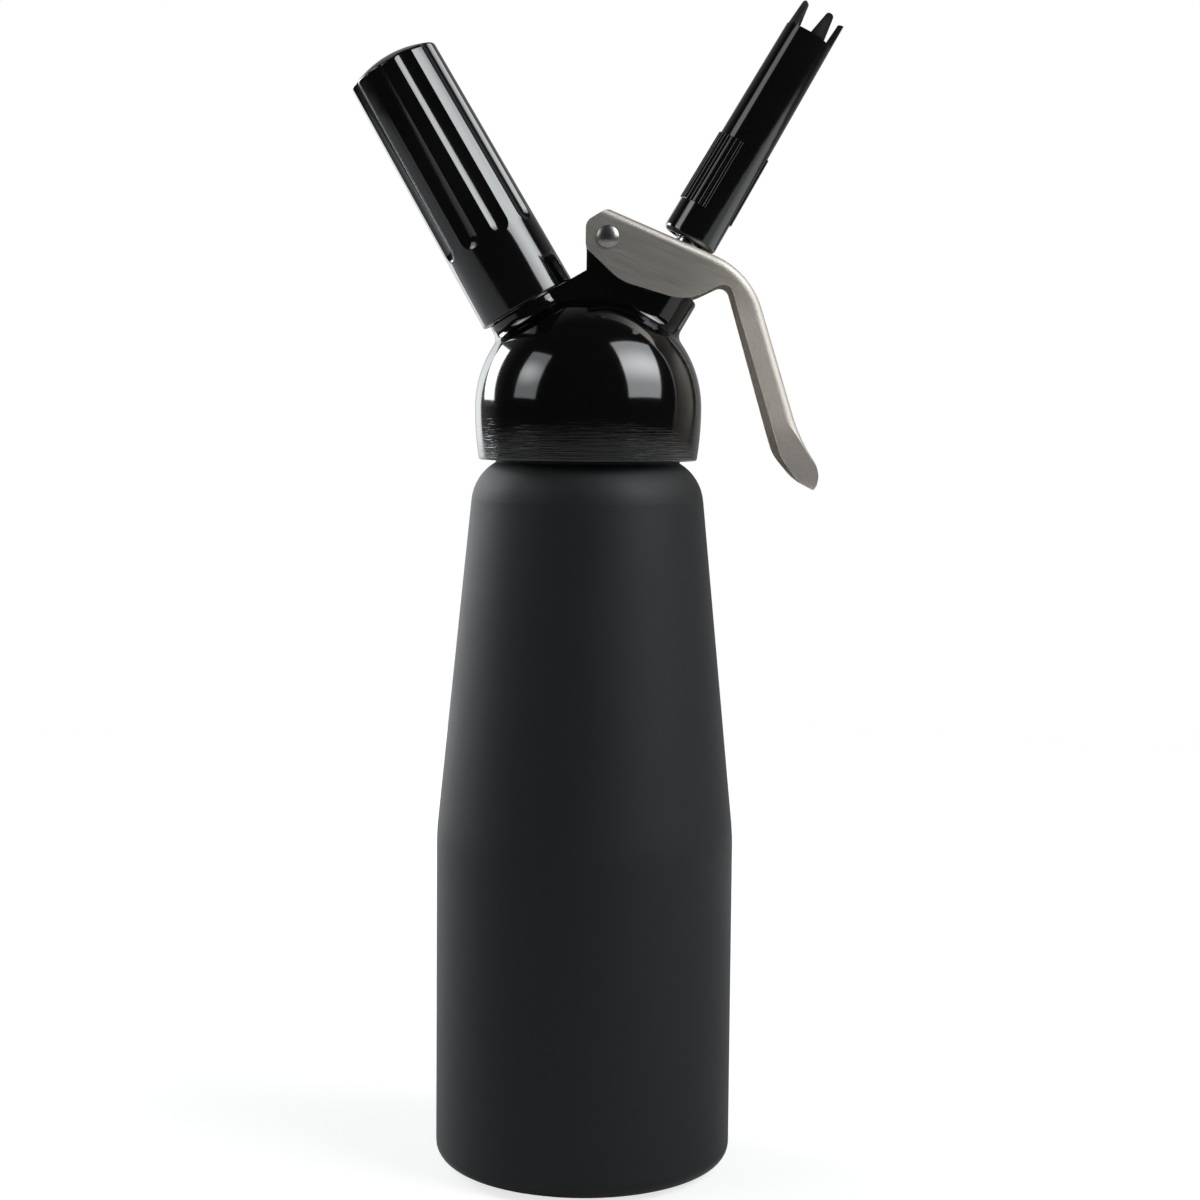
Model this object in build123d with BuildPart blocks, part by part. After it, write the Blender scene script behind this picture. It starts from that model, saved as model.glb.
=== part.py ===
"""Cream whipper: a bottle with a screw-on head, a gas charger in its holder, a valve and a lever.

Millimetres. The origin is the centre of the bottle's foot, +Z is up and +X points to the lever.
The charger and the valve lie on two branches that meet at the hub, a point on the bottle's axis.
A distance along a branch is counted from the hub.
"""

import os
from math import cos, pi, radians, sin, sqrt, tan

from build123d import *

os.makedirs("parts", exist_ok=True)

# Bottle
bottle_radius = 40.25
bottle_wall = 2.0
base_rise = 2.0
base_corner = 4.5
foot_inset = 10.0
foot_width = 4.5
punt_depth = 4.0
knee_height = 91.3
knee_blend = 60.0
shoulder_rise = 90.2
shoulder_radius = 31.25

# Neck and its thread
neck_foot_rise = 10.1
neck_radius = 24.8
neck_height = 14.4
neck_band = 1.6
neck_wall = 1.9
lip_round = 0.5
neck_pitch = 4.0
neck_thread_depth = 1.3
neck_thread_root = 2.0
neck_thread_crest = 1.0
neck_thread_turns = 2.4
head_thread_turns = 2.0

# Head
head_gap = 0.7
rim_radius = 29.3
rim_round = 0.7
dome_radius = 30.4
belt_rise = 13.9
hub_rise = 13.1
branch_angle = 30.1
boss_fillet = 3.0
gasket_thickness = 2.0

# Charger branch
charger_boss_radius = 11.8
charger_boss_top = 32.4
charger_boss_round = 0.6
stud_radius = 10.2
stud_length = 10.0
stud_pitch = 2.5
stud_thread_depth = 0.9
stud_thread_root = 1.2
stud_thread_crest = 0.5
stud_thread_turns = 3.0
holder_thread_turns = 2.5
spigot_radius = 6.0
spigot_depth = 7.2
nipple_radius = 3.4
nipple_length = 6.3
nipple_bead = 0.5
gas_hole = 1.2
cross_hole = 0.8
sleeve_wall = 1.5
stud_seal_section = 1.4
stud_seal_radius = 7.6

# Charger and its seal and pin
charger_radius = 9.0
charger_length = 65.4
charger_wall = 1.2
charger_neck_radius = 4.4
charger_neck_length = 9.5
charger_shoulder_length = 7.5
charger_hole = 1.2
socket_depth = 7.4
charger_seal_thickness = 1.7
pin_flange_radius = 3.0
pin_flange_thickness = 1.2
pin_shank_radius = 1.5
pin_shank_length = 2.6
pin_point_radius = 0.8
pin_point_length = 3.4
pin_hole = 0.35

# Charger holder
holder_mouth_radius = 13.5
holder_top_radius = 12.6
holder_length = 72.0
holder_crown = 3.0
holder_round = 1.0
mouth_round = 0.5
flute_count = 9
flute_turn = -72.0
flute_radius = 5.5
flute_depth = 0.84
flute_start = 22.0
flute_edge = 0.6

# Valve branch
valve_boss_radius = 10.5
valve_boss_top = 39.5
valve_boss_round = 1.2
seat_cut = 0.2
throat_radius = 4.6
throat_length = 3.4
bush_radius = 6.3
bush_length = 6.0
stem_groove_rise = 2.0
bush_groove_rise = 4.8
bush_seal_section = 1.05
stem_seal_section = 1.45
valve_seal_radius = 6.9
valve_seal_thickness = 3.0
washer_radius = 6.0
washer_thickness = 0.8
nut_flats = 9.0
nut_thickness = 3.4
nut_overhang = 0.5

# Valve stem and spring
stem_radius = 3.5
stem_tail_radius = 2.5
stem_bore = 2.0
stem_port = 1.2
collar_radius = 6.2
collar_land = 4.7
collar_crown = 0.4
collar_thickness = 2.1
stem_thread_radius = 3.9
stem_thread_depth = 0.7
stem_thread_root = 0.85
stem_thread_crest = 0.35
stem_pitch = 1.75
stem_thread_turns = 5.0
nozzle_thread_turns = 2.5
nozzle_thread_delay = 2.5
stem_reach = 9.1
coil_radius = 5.0
coil_wire = 1.1
coil_turns = 5

# Lever and its pivot
pivot_x = 4.85
pivot_rise = 45.6
press_angle = 12.0
lever_play = 0.15
sheet = 1.5
sheet_round = 2.2
web_lift = 6.8
web_overhang = 3.0
web_length = 30.8
web_slope = 22.9
bend_radius = 21.9
handle_slope = 73.4
handle_length = 29.2
flare_radius = 38.7
flare_turn = 19.0
tip_radius = 9.1
tip_turn = 55.3
cheek_depth = 6.1
heel_reach = 5.8
heel_drop = 2.8
heel_rise = 4.0
heel_blend = 3.0
corner_reach = 3.4
corner_drop = 11.4
corner_blend = 12.0
belly_reach = 20.8
belly_drop = 16.6
belly_blend = 13.0
armpit_rise = 9.5
armpit_blend = 2.5
spoon_delay = 9.3
spoon_blend = 12.0
tip_edge_length = 5.3
tip_edge_slope = 28.2
spread_angle = 7.1
spread_blend = 40.0
tip_trim = 3.0
ear_inset = 0.6
ear_back = 5.6
ear_round = 1.6
pin_radius = 2.2
pin_head_radius = 2.9
pin_head_height = 1.1
pin_head_edge = 0.3
pin_tenon_radius = 1.4
pin_tenon_length = 0.6

# Nozzle
nozzle_lift = 0.4
nozzle_base_radius = 7.6
nozzle_rim_radius = 6.75
nozzle_length = 62.65
nozzle_wall = 1.5
nozzle_round = 1.4
nozzle_recess_radius = 5.6
nozzle_recess_depth = 2.0
nozzle_seal_thickness = 1.5
tooth_count = 5
tooth_length = 6.8
tooth_angle = 38.0
tooth_tip_angle = 18.0
tooth_round = 0.9
grip_start = 9.25
grip_length = 19.8
grip_angle = 38.0
rib_count = 9
rib_step = 11.0
rib_radius = 0.55
rib_sink = 0.1

# Fits, for each side
fit_gap = 0.05
slip_gap = 0.4
thread_gap = 0.4
stem_thread_gap = 0.25
seat_gap = 0.1
cheek_gap = 0.4
holder_gap = 0.3
thread_sink = 0.3

# Distance under which two lines count as one
match = 0.05

# Heights on the bottle's axis
shoulder_height = knee_height + shoulder_rise
neck_foot_height = shoulder_height + neck_foot_rise
rim_z = neck_foot_height + head_gap
lip_z = neck_foot_height + neck_height
ledge_z = lip_z + gasket_thickness
belt_z = rim_z + belt_rise
hub_z = rim_z + hub_rise
neck_core = neck_radius - neck_thread_depth
neck_bore = neck_core - neck_wall
head_bore = neck_radius + thread_gap

# Branches
lean = radians(branch_angle)
hub = Vector(0, 0, hub_z)
charger_section = Plane(hub, x_dir=(cos(lean), 0, sin(lean)), z_dir=(0, -1, 0))
valve_section = Plane(hub, x_dir=(cos(lean), 0, -sin(lean)), z_dir=(0, -1, 0))
charger_axis = Axis(hub, charger_section.y_dir)
valve_axis = Axis(hub, valve_section.y_dir)


def station(section, distance):
    """Plane square to a branch at a distance from the hub, with its normal pointing outwards."""
    return Plane(section.origin + section.y_dir * distance, section.x_dir, section.y_dir)


def thread(root, crest, pitch, turns, low, root_width, crest_width):
    """Right-hand thread ridge wound about Z, its middle starting at a height on +X."""
    start = Vector(0, 0, low)
    sink = thread_sink if crest > root else -thread_sink
    flank = (root_width - crest_width) / 2 / abs(crest - root)
    foot = root_width / 2 + thread_sink * flank
    with BuildPart() as ridge:
        with BuildLine() as path:
            Helix(pitch, pitch * turns, root, center=start)
        begin = path.line @ 0
        with BuildSketch(Plane(begin, x_dir=(begin - start), z_dir=path.line % 0)):
            with BuildLine():
                Polyline(
                    (-sink, -foot),
                    (crest - root, -crest_width / 2),
                    (crest - root, crest_width / 2),
                    (-sink, foot),
                    close=True,
                )
            make_face()
        sweep(is_frenet=True)
    return ridge.part


def flat_ring(base, inner, outer, thickness):
    """Flat ring that stands on a plane."""
    with BuildPart() as ring:
        with BuildSketch(base):
            Circle(outer)
            Circle(inner, mode=Mode.SUBTRACT)
        extrude(amount=thickness)
    return ring.part


def o_ring(section, axis, radius, distance, wire):
    """Ring of round section about a branch, its middle at a distance from the hub."""
    with BuildPart() as ring:
        with BuildSketch(section):
            with Locations((radius, distance)):
                Circle(wire / 2)
        revolve(axis=axis)
    return ring.part


# Bottle: one turned shell with a ring foot, a domed floor and a threaded neck
foot_outer = bottle_radius - foot_inset
foot_inner = foot_outer - foot_width
shoulder_lean = (shoulder_radius - bottle_radius, shoulder_height - knee_height)
neck_thread_low = neck_foot_height + neck_band + neck_thread_root / 2 + thread_sink
neck_thread = thread(
    neck_core,
    neck_radius,
    neck_pitch,
    neck_thread_turns,
    neck_thread_low,
    neck_thread_root,
    neck_thread_crest,
)

with BuildPart() as bottle:
    with BuildSketch(Plane.XZ):
        with BuildLine():
            TangentArc((0, punt_depth), (foot_inner, 0), tangent=(1, 0))
            Line((foot_inner, 0), (foot_outer, 0))
            wall = FilletPolyline(
                (foot_outer, 0),
                (bottle_radius, base_rise),
                (bottle_radius, knee_height),
                (shoulder_radius, shoulder_height),
                radius=[base_corner, knee_blend],
            )
            TangentArc(wall @ 1, (neck_radius, neck_foot_height), tangent=shoulder_lean)
            Polyline(
                (neck_radius, neck_foot_height),
                (neck_radius, neck_foot_height + neck_band),
                (neck_core, neck_foot_height + neck_band + neck_thread_depth),
                (neck_core, lip_z),
                (neck_bore, lip_z),
                (neck_bore, neck_foot_height),
            )
            TangentArc(
                (shoulder_radius - bottle_wall, shoulder_height),
                (neck_bore, neck_foot_height),
                tangent=shoulder_lean,
            )
            FilletPolyline(
                (shoulder_radius - bottle_wall, shoulder_height),
                (bottle_radius - bottle_wall, knee_height),
                (bottle_radius - bottle_wall, base_rise + bottle_wall),
                (foot_outer, bottle_wall),
                radius=[knee_blend, base_corner - bottle_wall],
            )
            Line((foot_outer, bottle_wall), (foot_inner, bottle_wall))
            TangentArc((0, punt_depth + bottle_wall), (foot_inner, bottle_wall), tangent=(1, 0))
            Line((0, punt_depth + bottle_wall), (0, punt_depth))
        make_face()
    revolve(axis=Axis.Z)
    lip = bottle.edges().filter_by(GeomType.CIRCLE).filter_by_position(Axis.Z, lip_z, lip_z)
    fillet(lip, lip_round)
    add(neck_thread)
bottle.part.label = "bottle"
export_step(bottle.part, "parts/bottle.step")

with BuildPart() as head_gasket:
    add(flat_ring(Plane.XY.offset(lip_z), neck_bore, neck_core, gasket_thickness))
head_gasket.part.label = "head_gasket"
export_step(head_gasket.part, "parts/head_gasket.step")

# Lever geometry in the valve branch's frame: across it from the axis, and along it from the hub
pivot_z = hub_z + pivot_rise
pivot_across = pivot_x * cos(lean) - pivot_rise * sin(lean)
pivot_along = pivot_x * sin(lean) + pivot_rise * cos(lean)
rest_slope = radians(branch_angle - web_slope)
pressed_slope = rest_slope - radians(press_angle)


def web_face(across, slope, lift):
    """Distance from the hub of a face of the lever's web, beside the valve axis."""
    return pivot_along + (across - pivot_across) * tan(slope) + lift / cos(slope)


web_under = web_lift - sheet
collar_top = web_face(-collar_land, rest_slope, web_under) - lever_play
collar_pressed = web_face(collar_land, pressed_slope, web_under) - lever_play
stem_travel = collar_top - collar_pressed
print(f"stem travel {stem_travel:.4f} mm, {stem_travel / radians(press_angle):.4f} mm for each radian")

# Head: dome with two bosses and the lever's ear, hollow below
cavity_rise = ledge_z - hub_z
ceiling = cavity_rise * cos(lean) + sqrt(neck_bore**2 - (cavity_rise * sin(lean)) ** 2)
valve_seat = ceiling + seat_cut
bush_low = valve_seat + throat_length
bush_top = bush_low + bush_length
spigot_low = charger_boss_top - spigot_depth
stud_groove = stud_seal_section / 2 + fit_gap
ear_half = valve_boss_radius - ear_inset
ear_left = pivot_x - ear_back
ear_top = web_under - lever_play
ear_right = pivot_x + ear_top
ear_crown = pivot_z + ear_top
brow = valve_boss_top - valve_boss_round
brow_z = hub_z + (brow - ear_right * sin(lean)) / cos(lean)
ear_foot_z = hub_z + (charger_boss_top + ear_left * sin(lean)) / cos(lean)
ear_root = charger_section.from_local_coords((charger_boss_radius / 2, charger_boss_top, 0))
ear_sole = charger_section.from_local_coords((charger_boss_radius / 2, ceiling + boss_fillet, 0))
ear_brow = valve_section.from_local_coords((0, brow, 0))
ear_heel = valve_section.from_local_coords((0, ceiling + boss_fillet, 0))
head_thread = thread(
    head_bore,
    head_bore - neck_thread_depth,
    neck_pitch,
    head_thread_turns,
    neck_thread_low + neck_pitch / 2,
    neck_thread_root,
    neck_thread_crest,
)

with BuildPart() as ear:
    with BuildSketch(Plane.XZ):
        with BuildLine():
            Line((ear_left, ear_foot_z), (ear_left, pivot_z))
            TangentArc((ear_left, pivot_z), (ear_left + ear_top, ear_crown), tangent=(0, 1))
            Line((ear_left + ear_top, ear_crown), (pivot_x, ear_crown))
            TangentArc((pivot_x, ear_crown), (ear_right, pivot_z), tangent=(1, 0))
            Polyline(
                (ear_right, pivot_z),
                (ear_right, brow_z),
                (ear_brow.X, ear_brow.Z),
                (ear_heel.X, ear_heel.Z),
                (ear_sole.X, ear_sole.Z),
                (ear_root.X, ear_root.Z),
                (ear_left, ear_foot_z),
            )
        make_face()
    extrude(amount=ear_half, both=True)
    fillet(ear.edges().filter_by(Axis.Z).sort_by(Axis.X)[:2], ear_round)

with BuildPart() as head:
    with BuildSketch(Plane.XZ):
        with BuildLine():
            Line((0, rim_z), (rim_radius, rim_z))
            TangentArc((dome_radius, belt_z), (rim_radius, rim_z), tangent=(0, -1))
            TangentArc((dome_radius, belt_z), (0, belt_z + dome_radius), tangent=(0, 1))
            Line((0, belt_z + dome_radius), (0, rim_z))
        make_face()
    revolve(axis=Axis.Z)
    rim_edge = head.edges().filter_by_position(Axis.Z, rim_z, rim_z)
    fillet(rim_edge, rim_round)
    with BuildSketch(station(charger_section, 0)):
        Circle(charger_boss_radius)
    extrude(amount=charger_boss_top)
    charger_joint = head.edges(Select.LAST).filter_by(GeomType.CIRCLE, reverse=True)
    fillet(charger_joint.filter_by(GeomType.LINE, reverse=True), boss_fillet)
    fillet(head.edges().filter_by(GeomType.CIRCLE).sort_by(charger_axis)[-1], charger_boss_round)
    with BuildSketch(station(valve_section, 0)):
        Circle(valve_boss_radius)
    extrude(amount=valve_boss_top)
    valve_joint = head.edges(Select.LAST).filter_by(GeomType.CIRCLE, reverse=True)
    fillet(valve_joint.filter_by(GeomType.LINE, reverse=True), boss_fillet)
    fillet(head.edges().filter_by(GeomType.CIRCLE).sort_by(valve_axis)[-1], valve_boss_round)
    add(ear.part)
    # Hollow below: threaded bore, gasket ledge and domed cavity
    with BuildSketch(Plane.XZ):
        with BuildLine():
            Polyline((0, rim_z), (head_bore, rim_z), (head_bore, ledge_z), (neck_bore, ledge_z))
            TangentArc((neck_bore, ledge_z), (0, ledge_z + neck_bore), tangent=(0, 1))
            Line((0, ledge_z + neck_bore), (0, rim_z))
        make_face()
    revolve(axis=Axis.Z, mode=Mode.SUBTRACT)
    # Charger branch: bore for the stud's spigot and a groove for its seal
    with BuildSketch(charger_section):
        with BuildLine():
            Polyline(
                (0, cavity_rise),
                (spigot_radius, cavity_rise),
                (spigot_radius, charger_boss_top),
                (0, charger_boss_top),
                close=True,
            )
        make_face()
        with Locations((stud_seal_radius, charger_boss_top - stud_groove)):
            Rectangle(2 * stud_groove, 2 * stud_groove)
    revolve(axis=charger_axis, mode=Mode.SUBTRACT)
    # Valve branch: seat, throat and bore for the bush and the spring
    with BuildSketch(valve_section):
        with BuildLine():
            Polyline(
                (0, cavity_rise),
                (valve_seal_radius + slip_gap, cavity_rise),
                (valve_seal_radius + slip_gap, valve_seat),
                (throat_radius, valve_seat),
                (throat_radius, bush_low),
                (bush_radius, bush_low),
                (bush_radius, valve_boss_top),
                (0, valve_boss_top),
                close=True,
            )
        make_face()
    revolve(axis=valve_axis, mode=Mode.SUBTRACT)
    with BuildSketch(Plane.XZ):
        with Locations((pivot_x, pivot_z)):
            Circle(pin_radius + fit_gap)
    extrude(amount=dome_radius, both=True, mode=Mode.SUBTRACT)
    add(head_thread)
head.part.label = "head"
export_step(head.part, "parts/head.step")

# Charger stud: threaded stud on a spigot, with the charger's socket and the gas passage
stud_core = stud_radius - stud_thread_depth
stud_top = charger_boss_top + stud_length
socket_floor = stud_top - socket_depth
nipple_low = spigot_low - nipple_length
pin_low = socket_floor - pin_flange_thickness
sleeve_low = nipple_low + nipple_bead
gas_low = sleeve_low + cross_hole
stud_thread_low = charger_boss_top + stud_thread_root / 2 + thread_sink
stud_thread = thread(
    stud_core,
    stud_radius,
    stud_pitch,
    stud_thread_turns,
    stud_thread_low,
    stud_thread_root,
    stud_thread_crest,
)
socket_radius = charger_neck_radius + slip_gap
cross_hole_at = (sleeve_low + spigot_low) / 2

with BuildPart(station(charger_section, 0)) as charger_stud:
    with BuildSketch(charger_section):
        with BuildLine():
            Polyline(
                (0, nipple_low),
                (nipple_radius + nipple_bead, nipple_low),
                (nipple_radius + nipple_bead, sleeve_low),
                (nipple_radius, sleeve_low),
                (nipple_radius, spigot_low),
                (spigot_radius - fit_gap, spigot_low),
                (spigot_radius - fit_gap, charger_boss_top),
                (stud_core, charger_boss_top),
                (stud_core, stud_top),
                (socket_radius, stud_top),
                (socket_radius, socket_floor),
                (pin_flange_radius + fit_gap, socket_floor),
                (pin_flange_radius + fit_gap, pin_low),
                (pin_shank_radius + fit_gap, pin_low),
                (pin_shank_radius + fit_gap, pin_low - pin_shank_length),
                (gas_hole, pin_low - pin_shank_length),
                (gas_hole, gas_low),
                (0, gas_low),
                close=True,
            )
        make_face()
    revolve(axis=charger_axis)
    with BuildSketch(Plane(charger_section.from_local_coords((0, cross_hole_at, 0)), z_dir=(0, -1, 0))):
        Circle(cross_hole)
    extrude(amount=spigot_radius, both=True, mode=Mode.SUBTRACT)
    add(stud_thread)
charger_stud.part.label = "charger_stud"
export_step(charger_stud.part, "parts/charger_stud.step")

with BuildPart() as stud_seal:
    groove_middle = charger_boss_top - stud_groove
    add(o_ring(charger_section, charger_axis, stud_seal_radius, groove_middle, stud_seal_section))
stud_seal.part.label = "stud_seal"
export_step(stud_seal.part, "parts/stud_seal.step")

with BuildPart() as check_valve:
    sleeve_bore = nipple_radius + fit_gap
    sleeve_length = spigot_low - sleeve_low - 2 * fit_gap
    sleeve_base = station(charger_section, sleeve_low + fit_gap)
    add(flat_ring(sleeve_base, sleeve_bore, sleeve_bore + sleeve_wall, sleeve_length))
check_valve.part.label = "check_valve"
export_step(check_valve.part, "parts/check_valve.step")

with BuildPart() as piercing_pin:
    with BuildSketch(charger_section):
        with BuildLine():
            Polyline(
                (pin_hole, pin_low - pin_shank_length),
                (pin_shank_radius, pin_low - pin_shank_length),
                (pin_shank_radius, pin_low),
                (pin_flange_radius, pin_low),
                (pin_flange_radius, socket_floor),
                (pin_point_radius, socket_floor),
                (pin_point_radius, socket_floor + pin_point_length - pin_point_radius),
                (pin_hole, socket_floor + pin_point_length),
                close=True,
            )
        make_face()
    revolve(axis=charger_axis)
piercing_pin.part.label = "piercing_pin"
export_step(piercing_pin.part, "parts/piercing_pin.step")

with BuildPart() as charger_seal:
    seal_base = station(charger_section, socket_floor)
    seal_outer = socket_radius - fit_gap
    add(flat_ring(seal_base, pin_shank_radius, seal_outer, charger_seal_thickness))
charger_seal.part.label = "charger_seal"
export_step(charger_seal.part, "parts/charger_seal.step")

# Charger: hollow steel bulb, pierced at its tip
charger_tip = socket_floor + charger_seal_thickness + seat_gap
charger_waist = charger_tip + charger_neck_length
charger_shoulder = charger_waist + charger_shoulder_length
charger_dome = charger_tip + charger_length - charger_radius


def bulb_outline(inset):
    """Half outline of the bulb from its tip to its round end, moved inwards by an inset."""
    neck = charger_neck_radius - inset
    body = charger_radius - inset
    middle = ((neck + body) / 2, (charger_waist + charger_shoulder) / 2)
    Line((neck, charger_tip + inset), (neck, charger_waist))
    TangentArc((neck, charger_waist), middle, tangent=(0, 1))
    TangentArc((body, charger_shoulder), middle, tangent=(0, -1))
    Line((body, charger_shoulder), (body, charger_dome))
    TangentArc((body, charger_dome), (0, charger_dome + body), tangent=(0, 1))


with BuildPart() as charger:
    with BuildSketch(charger_section):
        with BuildLine():
            bulb_outline(0)
            Line((charger_neck_radius, charger_tip), (charger_hole, charger_tip))
            Line((charger_hole, charger_tip), (charger_hole, charger_tip + charger_wall))
            inner_neck = charger_neck_radius - charger_wall
            Line((charger_hole, charger_tip + charger_wall), (inner_neck, charger_tip + charger_wall))
            bulb_outline(charger_wall)
            inner_end = charger_dome + charger_radius - charger_wall
            Line((0, inner_end), (0, charger_dome + charger_radius))
        make_face()
    revolve(axis=charger_axis)
charger.part.label = "charger"
export_step(charger.part, "parts/charger.step")

# Charger holder: sleeve with a threaded mouth, a domed end and flutes that run out over its rim
holder_mouth = charger_boss_top + holder_gap
holder_rim = holder_mouth + holder_length
holder_bore = charger_radius + slip_gap
holder_socket = stud_radius + thread_gap
holder_step = stud_top + slip_gap
holder_dome = charger_dome - holder_gap
holder_taper = (holder_mouth_radius - holder_top_radius) / holder_length
flute_low = holder_mouth + flute_start
flute_length = holder_length - flute_start + holder_crown
flute_middle = holder_mouth_radius - holder_taper * flute_start + flute_radius - flute_depth
holder_thread = thread(
    holder_socket,
    holder_socket - stud_thread_depth,
    stud_pitch,
    holder_thread_turns,
    stud_thread_low + stud_pitch / 2,
    stud_thread_root,
    stud_thread_crest,
)

with BuildPart() as flute:
    Cylinder(flute_radius, flute_length, align=(Align.CENTER, Align.CENTER, Align.MIN))
    Sphere(flute_radius)

with BuildPart(station(charger_section, 0)) as charger_holder:
    with BuildSketch(charger_section):
        with BuildLine():
            Line((holder_mouth_radius, holder_mouth), (holder_top_radius, holder_rim))
            TangentArc((0, holder_rim + holder_crown), (holder_top_radius, holder_rim), tangent=(1, 0))
            TangentArc((holder_bore, holder_dome), (0, holder_dome + holder_bore), tangent=(0, 1))
            Line((0, holder_dome + holder_bore), (0, holder_rim + holder_crown))
            Polyline(
                (holder_bore, holder_dome),
                (holder_bore, holder_step),
                (holder_socket, holder_step),
                (holder_socket, holder_mouth),
                (holder_mouth_radius, holder_mouth),
            )
        make_face()
    revolve(axis=charger_axis)
    rings = charger_holder.edges().filter_by(GeomType.CIRCLE)
    fillet(rings.filter_by(lambda edge: abs(edge.radius - holder_top_radius) < match), holder_round)
    fillet(rings.filter_by(lambda edge: abs(edge.radius - holder_mouth_radius) < match), mouth_round)
    with Locations((0, 0, flute_low)):
        with PolarLocations(flute_middle, flute_count, start_angle=flute_turn):
            add(flute.part, rotation=(0, -holder_taper * 180 / pi, 0), mode=Mode.SUBTRACT)
    side = charger_holder.faces().filter_by(GeomType.CONE).sort_by(SortBy.AREA)[-1]
    brinks = side.edges().filter_by(GeomType.CIRCLE, reverse=True)
    fillet(brinks.filter_by(lambda edge: abs(edge.center().Y) > match), flute_edge)
    add(holder_thread)
charger_holder.part.label = "charger_holder"
export_step(charger_holder.part, "parts/charger_holder.step")

# Valve bush: guide for the stem with a seal inside and one outside
stem_groove_middle = bush_low + stem_groove_rise
bush_groove_middle = bush_low + bush_groove_rise
stem_groove = stem_seal_section + fit_gap
bush_groove = bush_seal_section + fit_gap
bush_bore = stem_radius + fit_gap
bush_body = bush_radius - fit_gap

with BuildPart() as valve_bush:
    with BuildSketch(valve_section):
        with Locations(((bush_bore + bush_body) / 2, (bush_low + bush_top) / 2)):
            Rectangle(bush_body - bush_bore, bush_length)
        with Locations((bush_bore, stem_groove_middle)):
            Rectangle(2 * stem_groove, stem_groove + fit_gap, mode=Mode.SUBTRACT)
        with Locations((bush_body, bush_groove_middle)):
            Rectangle(2 * bush_groove, bush_groove + fit_gap, mode=Mode.SUBTRACT)
    revolve(axis=valve_axis)
valve_bush.part.label = "valve_bush"
export_step(valve_bush.part, "parts/valve_bush.step")

with BuildPart() as bush_seal:
    bush_seal_radius = bush_body - bush_seal_section / 2
    add(o_ring(valve_section, valve_axis, bush_seal_radius, bush_groove_middle, bush_seal_section))
bush_seal.part.label = "bush_seal"
export_step(bush_seal.part, "parts/bush_seal.step")

with BuildPart() as stem_seal:
    stem_seal_radius = bush_bore + stem_seal_section / 2
    add(o_ring(valve_section, valve_axis, stem_seal_radius, stem_groove_middle, stem_seal_section))
stem_seal.part.label = "stem_seal"
export_step(stem_seal.part, "parts/stem_seal.step")

# Valve stem: tube with a thrust collar, side ports and a threaded end for the nozzle
nozzle_base = web_face(nozzle_base_radius, rest_slope, web_lift) + nozzle_lift
stem_top = nozzle_base + stem_reach
collar_low = collar_top - collar_thickness
stem_shoulder = valve_seat - seat_gap
seal_low = stem_shoulder - valve_seal_thickness
washer_low = seal_low - washer_thickness
nut_low = washer_low - nut_thickness
stem_low = nut_low - nut_overhang
port_at = valve_seat + throat_length / 2
stem_core = stem_thread_radius - stem_thread_depth
stem_thread_low = stem_top - stem_pitch * stem_thread_turns - stem_thread_root
stem_thread = thread(
    stem_core,
    stem_thread_radius,
    stem_pitch,
    stem_thread_turns,
    stem_thread_low,
    stem_thread_root,
    stem_thread_crest,
)

with BuildPart(station(valve_section, 0)) as valve_stem:
    with BuildSketch(valve_section):
        with BuildLine():
            Polyline(
                (0, stem_low),
                (stem_tail_radius, stem_low),
                (stem_tail_radius, stem_shoulder),
                (stem_radius, stem_shoulder),
                (stem_radius, collar_low),
                (collar_radius, collar_low),
                (collar_radius, collar_top - collar_crown),
                (collar_land, collar_top),
                (stem_core, collar_top),
                (stem_core, stem_top),
                (stem_bore, stem_top),
                (stem_bore, port_at - stem_port),
                (0, port_at - stem_port),
                close=True,
            )
        make_face()
    revolve(axis=valve_axis)
    port_centre = valve_section.from_local_coords((0, port_at, 0))
    with BuildSketch(
        Plane(port_centre, z_dir=valve_section.z_dir), Plane(port_centre, z_dir=valve_section.x_dir)
    ):
        Circle(stem_port)
    extrude(amount=stem_radius, both=True, mode=Mode.SUBTRACT)
    add(stem_thread)
valve_stem.part.label = "valve_stem"
export_step(valve_stem.part, "parts/valve_stem.step")

with BuildPart() as valve_seal:
    tail_bore = stem_tail_radius + fit_gap
    seal_base = station(valve_section, seal_low)
    add(flat_ring(seal_base, tail_bore, valve_seal_radius, valve_seal_thickness))
valve_seal.part.label = "valve_seal"
export_step(valve_seal.part, "parts/valve_seal.step")

with BuildPart() as seal_washer:
    add(flat_ring(station(valve_section, washer_low), tail_bore, washer_radius, washer_thickness))
seal_washer.part.label = "seal_washer"
export_step(seal_washer.part, "parts/seal_washer.step")

with BuildPart() as valve_nut:
    with BuildSketch(station(valve_section, nut_low)):
        RegularPolygon(nut_flats / 2, 6, major_radius=False)
        Circle(tail_bore, mode=Mode.SUBTRACT)
    extrude(amount=nut_thickness)
valve_nut.part.label = "valve_nut"
export_step(valve_nut.part, "parts/valve_nut.step")

# Valve spring: one round wire wound between the bush and the collar
coil_low = bush_top + coil_wire / 2 + fit_gap
coil_high = collar_low - coil_wire / 2 - fit_gap
coil_pitch = (coil_high - coil_low) / coil_turns
coil_base = station(valve_section, 0)


def coil_point(turn):
    """Point of the coil's middle line after a number of turns."""
    around = 2 * pi * turn
    place = (coil_radius * cos(around), coil_radius * sin(around), coil_low + coil_pitch * turn)
    return coil_base.from_local_coords(Vector(*place))


def coil_heading(turn):
    """Direction of the coil's middle line after a number of turns."""
    around = 2 * pi * turn
    slope = coil_pitch / (2 * pi)
    heading = Vector(-coil_radius * sin(around), coil_radius * cos(around), slope)
    return (coil_base.from_local_coords(heading) - coil_base.origin).normalized()


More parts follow.
